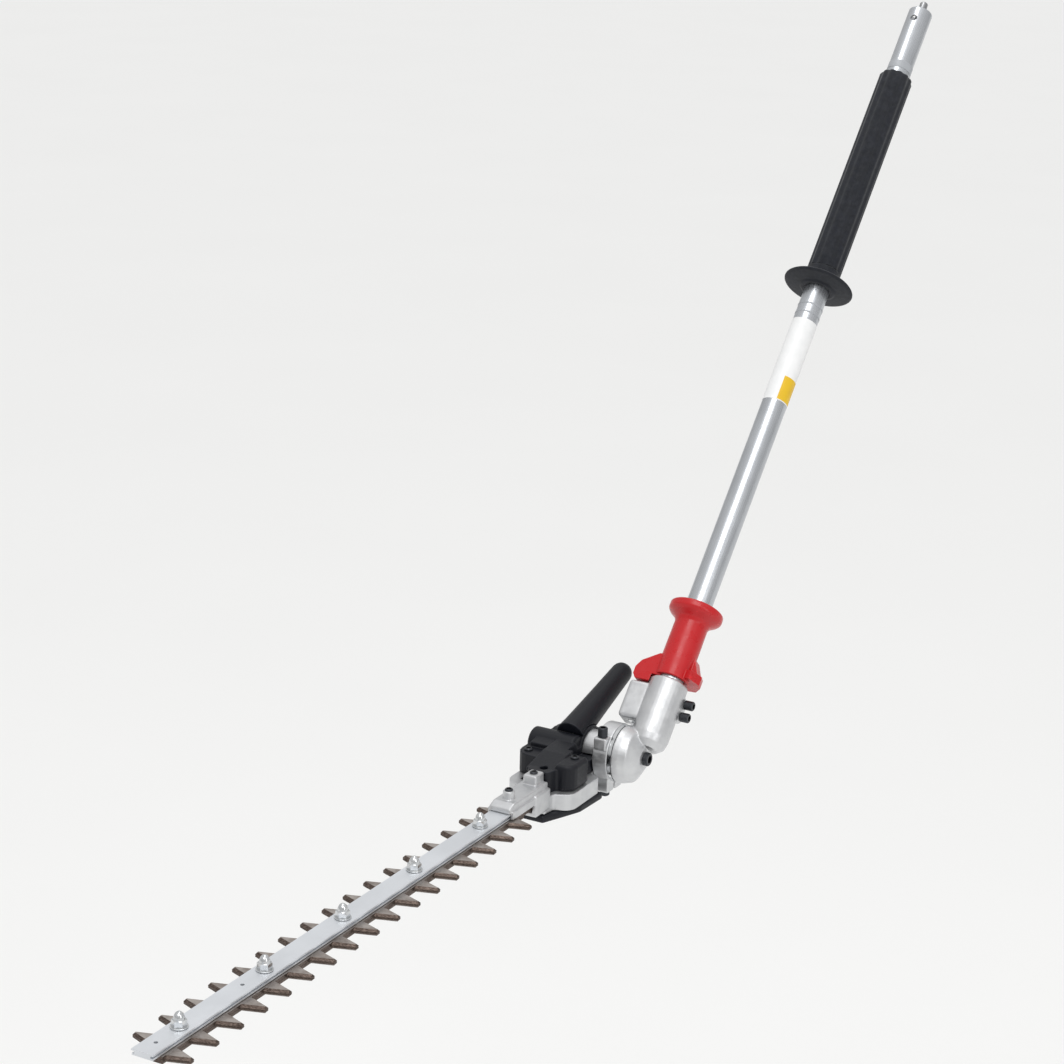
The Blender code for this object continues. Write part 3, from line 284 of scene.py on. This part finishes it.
class Surface:
    """A Principled material under construction, with patterns scaled in millimetres of the object."""

    def __init__(self, name, code, roughness, metallic=0.0):
        self.material = bpy.data.materials.new(name)
        self.material.use_nodes = True
        self.tree = self.material.node_tree
        self.shader = self.tree.nodes["Principled BSDF"]
        self.shader.inputs["Base Color"].default_value = linear(code)
        self.shader.inputs["Roughness"].default_value = roughness
        self.shader.inputs["Metallic"].default_value = metallic
        self.place = add_node(self.tree, "TexCoord").outputs["Object"]
        self.normal = None

    def noise(self, size, detail=3.0, stretch=(1.0, 1.0, 1.0)):
        """Noise whose cells are about size mm, drawn out along an axis by stretch below 1."""
        scaled = add_node(self.tree, "Mapping", {"Vector": self.place}, Scale=stretch)
        node = add_node(self.tree, "TexNoise", {"Vector": scaled.outputs["Vector"]},
                        Scale=1000.0 / size, Detail=detail)
        return node.outputs["Fac"]

    def ramp(self, value, low, high, bottom=0.0, top=1.0):
        """Value mapped from low..high to bottom..top."""
        node = add_node(self.tree, "MapRange", {"Value": value})
        node.inputs["From Min"].default_value = low
        node.inputs["From Max"].default_value = high
        node.inputs["To Min"].default_value = bottom
        node.inputs["To Max"].default_value = top
        return node.outputs["Result"]

    def bump(self, height, depth, strength=1.0):
        """Adds relief of about depth mm."""
        links = {"Height": height}
        if self.normal:
            links["Normal"] = self.normal
        node = add_node(self.tree, "Bump", links, Strength=strength, Distance=depth / 1000.0)
        self.normal = node.outputs["Normal"]
        self.tree.links.new(self.normal, self.shader.inputs["Normal"])

    def vary_roughness(self, value, bottom, top):
        self.tree.links.new(self.ramp(value, 0.35, 0.65, bottom, top), self.shader.inputs["Roughness"])

    def vary_colour(self, value, code, other):
        """Blends two colours by value."""
        node = add_node(self.tree, "Mix", data_type="RGBA")
        node.inputs[6].default_value = linear(code)
        node.inputs[7].default_value = linear(other)
        self.tree.links.new(value, node.inputs[0])
        self.tree.links.new(node.outputs[2], self.shader.inputs["Base Color"])
        return node

    def worn_edges(self, low=0.51, high=0.58):
        """0 on flats and 1 along outer edges."""
        geometry = add_node(self.tree, "NewGeometry")
        return self.ramp(geometry.outputs["Pointiness"], low, high)


def cast_aluminium():
    surface = Surface("cast aluminium", "C9CACC", 0.45, 0.85)
    surface.bump(surface.noise(0.7, 4.0), 0.05, 0.55)
    surface.bump(surface.noise(9.0, 2.0), 0.25, 0.25)
    surface.vary_roughness(surface.noise(5.0), 0.34, 0.50)
    surface.vary_colour(surface.ramp(surface.noise(14.0), 0.3, 0.7), "C4C5C7", "D0D1D2")
    return surface.material


def anodised_aluminium():
    surface = Surface("anodised aluminium tube", "BEC1C5", 0.30, 1.0)
    lines = surface.noise(0.35, 2.0, (1.0, 1.0, 0.012))
    surface.bump(lines, 0.01, 0.5)
    surface.vary_roughness(lines, 0.24, 0.36)
    surface.vary_colour(surface.ramp(surface.noise(30.0), 0.3, 0.7), "B9BCC0", "C4C7CB")
    return surface.material


def bar_aluminium():
    surface = Surface("satin anodised bar", "DDE0E4", 0.5, 0.8)
    lines = surface.noise(0.4, 2.0, (0.02, 1.0, 1.0))
    surface.bump(lines, 0.006, 0.3)
    surface.vary_roughness(lines, 0.44, 0.54)
    surface.vary_colour(surface.ramp(surface.noise(40.0), 0.3, 0.7), "D9DCE0", "E2E5E9")
    return surface.material


def blade_steel():
    """Grey rolled faces and cross-grinding on the bevels that slope to a cutting edge, with painted shade
    making the sloped faces dark.
    """
    surface = Surface("ground blade steel with painted bevel shade", "9A928C", 0.42, 0.85)
    grind = surface.noise(0.5, 2.0, (1.0, 0.08, 1.0))
    stain = surface.ramp(surface.noise(9.0, 5.0), 0.38, 0.66)
    flat = surface.vary_colour(stain, "B5ADA7", "8F8680")
    # The dark colours on the sloped bevels are painted shade; the grind noise that blends them is the real
    # cross-grinding.
    ground = add_node(surface.tree, "Mix", {0: surface.ramp(grind, 0.35, 0.65)}, data_type="RGBA")
    ground.inputs[6].default_value = linear("3A302B")
    ground.inputs[7].default_value = linear("75675F")
    geometry = add_node(surface.tree, "NewGeometry")
    split = add_node(surface.tree, "SeparateXYZ", {"Vector": geometry.outputs["True Normal"]})
    level = add_node(surface.tree, "Math", {0: split.outputs["Z"]}, operation="ABSOLUTE")
    # Painted shade: darker wherever the face tilts away from level, as if turned away from the top light.
    bevel_shade = surface.ramp(level.outputs["Value"], 0.995, 0.93)
    mix = add_node(surface.tree, "Mix", {0: bevel_shade, 6: flat.outputs[2], 7: ground.outputs[2]},
                   data_type="RGBA")
    surface.tree.links.new(mix.outputs[2], surface.shader.inputs["Base Color"])
    surface.bump(grind, 0.02, 0.6)
    surface.vary_roughness(stain, 0.34, 0.50)
    return surface.material


def plated_steel():
    surface = Surface("zinc-plated steel", "D2D4D6", 0.2, 1.0)
    surface.vary_roughness(surface.noise(1.6), 0.12, 0.22)
    surface.vary_colour(surface.ramp(surface.noise(3.5), 0.3, 0.7), "C6C9CB", "DCDDDE")
    surface.bump(surface.noise(0.5), 0.01, 0.4)
    return surface.material


def gear_steel():
    surface = Surface("machined gear steel", "9B9C9E", 0.32, 1.0)
    surface.vary_roughness(surface.noise(1.2), 0.24, 0.42)
    surface.vary_colour(surface.ramp(surface.noise(4.0), 0.3, 0.7), "8C8D90", "ABACAD")
    surface.bump(surface.noise(0.4), 0.01, 0.4)
    return surface.material


def black_oxide():
    surface = Surface("black oxide screw steel", "17181B", 0.38, 0.7)
    surface.vary_roughness(surface.noise(1.0), 0.28, 0.48)
    surface.vary_colour(surface.worn_edges(), "15161A", "3A3C40")
    surface.bump(surface.noise(0.5), 0.02, 0.4)
    return surface.material


def black_plastic():
    surface = Surface("grained black plastic", "0F1118", 0.44)
    surface.shader.inputs["Specular IOR Level"].default_value = 0.3
    surface.bump(surface.noise(0.5, 3.0), 0.03, 0.45)
    surface.vary_roughness(surface.noise(2.0), 0.42, 0.50)
    surface.vary_colour(surface.worn_edges(), "0E1017", "20232C")
    return surface.material


def foam_rubber():
    surface = Surface("closed-cell foam rubber", "14171E", 0.78)
    surface.shader.inputs["Specular IOR Level"].default_value = 0.3
    surface.bump(surface.noise(0.9, 4.0), 0.12, 0.6)
    surface.vary_roughness(surface.noise(5.0), 0.70, 0.86)
    surface.vary_colour(surface.ramp(surface.noise(6.0), 0.3, 0.7), "12151B", "1A1D25")
    surface.shader.inputs["Sheen Weight"].default_value = 0.15
    return surface.material


def red_plastic():
    surface = Surface("moulded red plastic", "C8141C", 0.30)
    surface.bump(surface.noise(0.6, 2.0), 0.015, 0.4)
    surface.bump(surface.noise(12.0, 2.0), 0.2, 0.2)
    surface.vary_roughness(surface.noise(8.0), 0.24, 0.38)
    surface.vary_colour(surface.worn_edges(), "B80D15", "CE2027")
    surface.shader.inputs["Subsurface Weight"].default_value = 0.04
    surface.shader.inputs["Subsurface Radius"].default_value = (0.002, 0.0005, 0.0005)
    return surface.material


def bronze():
    surface = Surface("sintered bronze", "A9834F", 0.45, 1.0)
    surface.bump(surface.noise(0.4), 0.03, 0.5)
    surface.vary_colour(surface.ramp(surface.noise(2.0), 0.3, 0.7), "9C7743", "B8925D")
    return surface.material


def label_film(name, code, other):
    surface = Surface(name, code, 0.40)
    surface.bump(surface.noise(3.0, 2.0), 0.01, 0.3)
    surface.vary_roughness(surface.noise(6.0), 0.34, 0.46)
    surface.vary_colour(surface.ramp(surface.noise(10.0), 0.3, 0.7), code, other)
    return surface.material


def pale_floor():
    surface = Surface("pale matt floor", "F2F2F1", 0.9)
    surface.vary_colour(surface.ramp(surface.noise(600.0), 0.3, 0.7), "F3F3F2", "F2F2F1")
    return surface.material


# ---------------------------------------------------------------- pieces on the pole
def make_tube(material):
    """The long tube, with the coupling button's hole near its upper end."""
    wall = softened([(TUBE_INNER, TUBE_FOOT), (TUBE_RADIUS, TUBE_FOOT), (TUBE_RADIUS, HINGE_TO_END),
                     (TUBE_INNER, HINGE_TO_END)], 0.8)
    tube = add_object("tube", turned(wall, 128), POLE)
    hole = rod(BUTTON_HOLE_RADIUS, -TUBE_RADIUS - 2.0, -TUBE_INNER + 2.0, 48, "X",
               (0.0, 0.0, HINGE_TO_END - BUTTON_HOLE_BACK))
    boolean(tube, add_object("hole", hole, POLE), "DIFFERENCE")
    smooth_by_angle(tube)
    finished(tube, "pole", material, "pole_tube")


def wrap(name, foot, top, material, *nodes, segments=128):
    """A thin film round the tube."""
    profile = [(SKIN_INNER, foot), (SKIN_OUTER, foot + 0.1), (SKIN_OUTER, top - 0.1), (SKIN_INNER, top)]
    band = add_object(name, turned(profile, segments), POLE)
    smooth_by_angle(band)
    finished(band, "pole", material, *nodes)


def patch(name, foot, top, start, end, material):
    """A thin printed patch on the tube between two angles, in degrees."""
    steps = 24
    angles = [math.radians(start + (end - start) * step / steps) for step in range(steps + 1)]
    outer = [(PRINT_OUTER * math.cos(a), PRINT_OUTER * math.sin(a)) for a in angles]
    inner = [(PRINT_INNER * math.cos(a), PRINT_INNER * math.sin(a)) for a in reversed(angles)]
    obj = add_object(name, prism(outer + inner, foot, top), POLE)
    smooth_by_angle(obj)
    finished(obj, "pole", material)


def make_grip(material):
    """The fluted foam grip and the round guard below it."""
    def flutes(angle, radius, height):
        if radius < TUBE_RADIUS + 1.5:
            return radius
        return radius - FLUTE_DEPTH + FLUTE_DEPTH * math.cos(GRIP_FLUTES * angle)
    bore = TUBE_RADIUS + 0.1
    profile = [(bore, GRIP_FOOT + 0.3), (GRIP_RADIUS, GRIP_FOOT + 0.3)]
    profile += [(GRIP_RADIUS, GRIP_FOOT + 5.0 + 11.0 * step) for step in range(20)]
    profile += [(GRIP_RADIUS, GRIP_TOP - 2.6), (GRIP_RADIUS - 0.9, GRIP_TOP - 0.8),
                (GRIP_RADIUS - 2.6, GRIP_TOP), (bore, GRIP_TOP)]
    sleeve = add_object("foam_grip", turned(profile, 192, ripple=flutes), POLE)
    smooth_by_angle(sleeve, 50.0)
    finished(sleeve, "pole", material, "grip_sleeve")
    middle = GRIP_FOOT - 17.0
    plate = [(bore, middle - 4.0), (TUBE_RADIUS + 4.0, middle - 4.0), (TUBE_RADIUS + 6.0, middle - 2.6),
             (GUARD_RADIUS - 2.0, middle - 1.2), (GUARD_RADIUS, middle + 0.4),
             (GUARD_RADIUS - 1.6, middle + 2.2), (GRIP_RADIUS + 6.0, middle + 4.0),
             (GRIP_RADIUS + 1.2, middle + 7.0), (GRIP_RADIUS, GRIP_FOOT - 3.0),
             (GRIP_RADIUS, GRIP_FOOT), (bore, GRIP_FOOT)]
    guard = turned(softened(plate, 1.2), 128)
    disc = add_object("round_guard", guard, POLE)
    smooth_by_angle(disc, 50.0)
    finished(disc, "pole", material, "grip_guard")


def make_sleeve(material):
    """The red release sleeve: a flanged spool with a wing over the plunger and a thumb lobe."""
    spool = turned(softened([(SLEEVE_BORE - 2.0, SLEEVE_FOOT), (SLEEVE_NECK + 0.4, SLEEVE_FOOT),
                             (SLEEVE_NECK, SLEEVE_TOP - 17.0), (SLEEVE_NECK + 1.6, SLEEVE_TOP - 13.5),
                             (SLEEVE_FLANGE - 2.0, SLEEVE_TOP - 9.0), (SLEEVE_FLANGE, SLEEVE_TOP - 6.5),
                             (SLEEVE_FLANGE, SLEEVE_TOP - 1.2), (SLEEVE_FLANGE - 1.6, SLEEVE_TOP),
                             (SLEEVE_BORE - 2.0, SLEEVE_TOP)], 0.9), 160)
    sleeve = add_object("release_spool", spool, POLE)
    wing = [(0.0, WING_FOOT), (WING_REACH - 3.0, WING_FOOT), (WING_REACH, WING_FOOT + 4.0),
            (WING_REACH, WING_FOOT + 11.0), (WING_REACH - 4.0, WING_FOOT + 18.0), (14.0, WING_TOP),
            (0.0, WING_TOP)]
    boolean(sleeve, add_object("wing", prism(wing, -11.0, 11.0, "X"), POLE), "UNION")
    lobe = [(-3.0, -3.0), (19.0, -3.0), (SLEEVE_NECK + 8.0, -8.0), (SLEEVE_NECK + 7.0, -17.0),
            (12.0, -24.5), (3.0, -26.5), (-10.0, -20.0)]
    boolean(sleeve, add_object("lobe", prism(lobe, SLEEVE_FOOT + 1.5, SLEEVE_FOOT + 10.0), POLE), "UNION")
    gusset = [(-10.0, SLEEVE_FOOT + 8.0), (-23.5, SLEEVE_FOOT + 9.0), (-16.0, SLEEVE_FOOT + 24.0),
              (-10.0, SLEEVE_FOOT + 26.0)]
    boolean(sleeve, add_object("gusset", prism(gusset, -2.0, 12.0, "X"), POLE), "UNION")
    room, step = 18.8, SLEEVE_FOOT - 1.5
    run = turned([(0.0, step - 18.0), (room, step - 18.0), (room, step), (SLEEVE_BORE, step),
                  (SLEEVE_BORE, SLEEVE_TOP + 1.0), (0.0, SLEEVE_TOP + 1.0)], 150)
    boolean(sleeve, add_object("run", run, POLE), "DIFFERENCE")
    remeshed(sleeve, 0.4, 5)
    finished(sleeve, "release", material, "release_sleeve")


def make_casting(node, name, body, material, voxel=0.45, rounds=8, keep=0.4):
    """A casting or moulding with the CAD node's shape and small radii on its edges."""
    obj = copy_of(node, name)
    remeshed(obj, voxel, rounds, keep)
    return finished(obj, body, material, node)


# ---------------------------------------------------------------- pieces on the head
def make_cap_nut(number, material):
    """A flanged hexagon nut with a domed cap."""
    x = FIRST_NUT + (number - 1) * NUT_PITCH
    half = NUT_ACROSS / 2 / math.cos(math.pi / 6)
    hexagon_top = NUT_SEAT + NUT_HEIGHT * 0.52
    hexagon = rod(half, NUT_SEAT, hexagon_top, 6, centre=(x, 0.0, 0.0))
    nut = add_object(f"domed_nut_{number}", hexagon, HEAD)
    cone = turned([(0.0, NUT_SEAT - 1.0), (half + 1.0, NUT_SEAT - 1.0),
                   (half + 1.0, NUT_SEAT + NUT_HEIGHT * 0.42), (half - 1.4, hexagon_top),
                   (0.0, hexagon_top)], 64, centre=(x, 0.0, 0.0))
    boolean(nut, add_object("cone", cone, HEAD), "INTERSECT")
    dome_foot = NUT_SEAT + NUT_HEIGHT * 0.5
    radius, rise = half - 1.5, NUT_HEIGHT * 0.5
    arc = []
    for degrees in range(0, 90, 9):
        angle = math.radians(degrees)
        arc.append((radius * math.cos(angle), dome_foot + rise * math.sin(angle)))
    dome = turned([(0.0, dome_foot - 1.0), (radius, dome_foot - 1.0)] + arc + [(0.0, dome_foot + rise)], 48,
                  centre=(x, 0.0, 0.0))
    boolean(nut, add_object("dome", dome, HEAD), "UNION")
    washer = turned(softened([(0.0, NUT_SEAT), (half + 1.0, NUT_SEAT), (half + 1.0, NUT_SEAT + 0.9),
                              (0.0, NUT_SEAT + 0.9)], 0.3), 64, centre=(x, 0.0, 0.0))
    boolean(nut, add_object("washer", washer, HEAD), "UNION")
    smooth_by_angle(nut, 25.0)
    finished(nut, "head", material, f"cap_nut_{number}")


def make_blades(material):
    """The toothed blades keep their CAD outline, shaded smooth, with edges sharper than 5 degrees kept
    sharp.
    """
    for node, name, body in (("upper_blade", "upper_toothed_blade", "upper_blade_body"),
                             ("lower_blade", "lower_toothed_blade", "lower_blade_body")):
        obj = copy_of(node, name)
        smooth_by_angle(obj, 5.0)
        finished(obj, body, material, node)


def make_bar(material):
    """The slotted guide bar, with a groove along each side and broken edges."""
    bar = copy_of("guide_bar", "slotted_guide_bar")
    for side in (-1.0, 1.0):
        near, far = sorted((side * (BAR_HALF - BAR_GROOVE), side * (BAR_HALF + 1.0)))
        groove = block((-700.0, near, BAR_MIDDLE - 1.0), (-100.0, far, BAR_MIDDLE + 1.0))
        boolean(bar, add_object("groove", groove, HEAD), "DIFFERENCE")
    bevelled(bar, 0.3, 2)
    bar.data.shade_flat()
    finished(bar, "head", material, "guide_bar")


def paint_cad_nodes(finishes):
    """Gives each CAD node the material of its slot in the record."""
    slots = {part["node"]: part["material_slot"] for part in frame["record"]["subparts"]}
    for name, obj in frame["nodes"].items():
        if not obj.data.materials:
            obj.data.materials.append(None)
        for index in range(len(obj.data.materials)):
            obj.data.materials[index] = finishes[slots[name]]


# ---------------------------------------------------------------- studio
def make_floor(material):
    bm = bmesh.new()
    bmesh.ops.create_grid(bm, x_segments=2, y_segments=2, size=60000.0)
    floor = add_object("floor", bm, Matrix.Translation(hinge - mm(0.0, 0.0, FLOOR_DROP)))
    floor.data.materials.append(material)


def add_area(name, place, target, size, power):
    light = bpy.data.lights.new(name, "AREA")
    light.shape = "RECTANGLE"
    light.size, light.size_y = size
    light.energy = power
    obj = bpy.data.objects.new(name, light)
    bpy.context.scene.collection.objects.link(obj)
    obj.location = place
    obj.rotation_euler = (Vector(target) - Vector(place)).to_track_quat("-Z", "Y").to_euler()


def add_sun(name, source, spread, strength):
    light = bpy.data.lights.new(name, "SUN")
    light.angle = math.radians(spread)
    light.energy = strength
    obj = bpy.data.objects.new(name, light)
    bpy.context.scene.collection.objects.link(obj)
    obj.rotation_euler = (-Vector(source)).to_track_quat("-Z", "Y").to_euler()


def make_lights():
    world = bpy.data.worlds.new("studio")
    bpy.context.scene.world = world
    world.use_nodes = True
    tree = world.node_tree
    direction = add_node(tree, "TexCoord").outputs["Generated"]
    split = add_node(tree, "SeparateXYZ", {"Vector": direction})
    height = add_node(tree, "MapRange", {"Value": split.outputs["Z"]})
    height.inputs["To Min"].default_value = 0.55
    height.inputs["To Max"].default_value = 0.85
    tree.links.new(height.outputs["Result"], tree.nodes["Background"].inputs["Strength"])
    tree.nodes["Background"].inputs["Color"].default_value = (1.0, 1.0, 1.0, 1.0)
    add_sun("key", (-0.55, -0.25, 0.8), 35.0, 0.8)
    add_area("side panel", (-1.6, -2.2, 0.4), (-0.5, 0.0, -0.4), (0.5, 1.6), 9.0)
    add_area("top panel", (-0.6, 0.2, 1.6), (-0.5, 0.0, -0.4), (1.8, 0.5), 9.0)
    bpy.context.scene.view_settings.view_transform = "Standard"


def make_camera():
    camera = bpy.data.cameras.new("camera")
    camera.lens = CAMERA_LENS
    camera.sensor_width = 36.0
    camera.clip_start = 0.01
    obj = bpy.data.objects.new("camera", camera)
    bpy.context.scene.collection.objects.link(obj)
    obj.location = mm(*CAMERA_PLACE)
    obj.rotation_euler = Euler([math.radians(angle) for angle in CAMERA_TURN])
    bpy.context.scene.camera = obj


def build():
    casting, tube_metal, bar_metal = cast_aluminium(), anodised_aluminium(), bar_aluminium()
    plated, gear, black_steel = plated_steel(), gear_steel(), black_oxide()
    plastic, foam, red, blade = black_plastic(), foam_rubber(), red_plastic(), blade_steel()
    white = label_film("white label film", "E2E3E3", "E9E9E9")
    yellow = label_film("yellow label print", "D9AE14", "E0B81E")
    grey = label_film("grey printed band", "9A9DA1", "A6A9AD")
    paint_cad_nodes({
        "cast_aluminium": casting,
        "anodised_aluminium": tube_metal,
        "zinc_steel": plated,
        "blade_steel": blade,
        "gear_steel": gear,
        "black_screw": black_steel,
        "black_plastic": plastic,
        "foam_rubber": foam,
        "red_plastic": red,
        "bronze": bronze(),
        "label_film": white,
    })
    make_tube(tube_metal)
    wrap("white_label", 370.0, 460.0, white, "blank_label")
    patch("yellow_label_block", 371.0, 396.0, 205.0, 290.0, yellow)
    wrap("printed_ring_lower", 467.0, 468.6, grey, "stop_band")
    wrap("printed_ring_upper", 476.4, 478.0, grey)
    wrap("depth_mark", 755.7, 764.1, grey, "depth_band")
    make_grip(foam)
    make_sleeve(red)
    make_casting("joint_housing", "hinge_casting", "pole", casting, 0.5, 14)
    make_casting("hinge_hub", "hub_casting", "head", casting, 0.4, 5)
    make_casting("gear_case", "case_casting", "head", casting, 0.45, 5)
    make_casting("gear_cover", "cover_moulding", "head", plastic, 0.5, 9)
    make_casting("sole_plate", "sole_moulding", "head", plastic, 0.5, 5)
    make_casting("rear_handle", "handle_moulding", "head", plastic, 0.6, 10)
    make_blades(blade)
    make_bar(bar_metal)
    for number in range(1, 6):
        make_cap_nut(number, plated)
    make_floor(pale_floor())
    make_lights()
    make_camera()


build()
